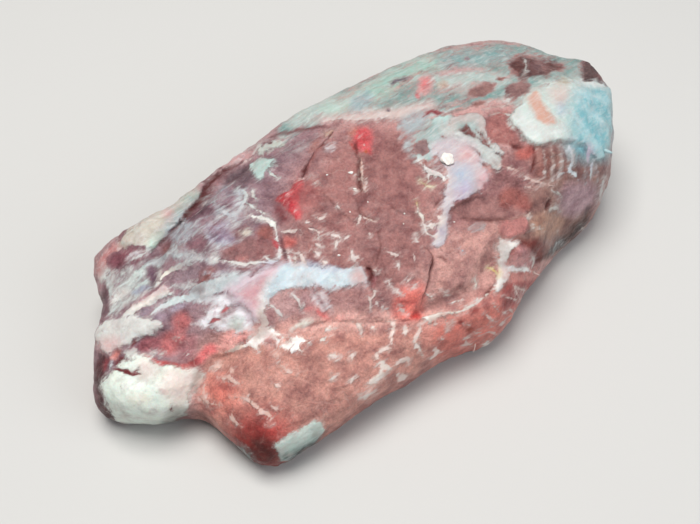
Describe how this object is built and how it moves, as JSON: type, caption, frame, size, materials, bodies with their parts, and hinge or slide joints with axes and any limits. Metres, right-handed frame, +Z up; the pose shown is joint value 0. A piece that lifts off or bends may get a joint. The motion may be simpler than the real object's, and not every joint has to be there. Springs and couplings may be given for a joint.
{
  "type": "raw pork presa",
  "caption": "Raw boneless pork presa, a flat tapering shoulder muscle with fat, silverskin and knife cuts, lying on its flat underside.",
  "frame": {"origin": "on the surface the meat lies on, under the middle of its bounding box", "axes": "+X along the meat to its thick end, +Y across it to the fat-rimmed back edge, +Z up"},
  "size_m": [0.225, 0.11, 0.054],
  "materials": {
    "meat": "moist raw meat, semi-matte, with white fat and bluish silverskin"
  },
  "bodies": {
    "root": {"presa": "meat"}
  },
  "joints": []
}
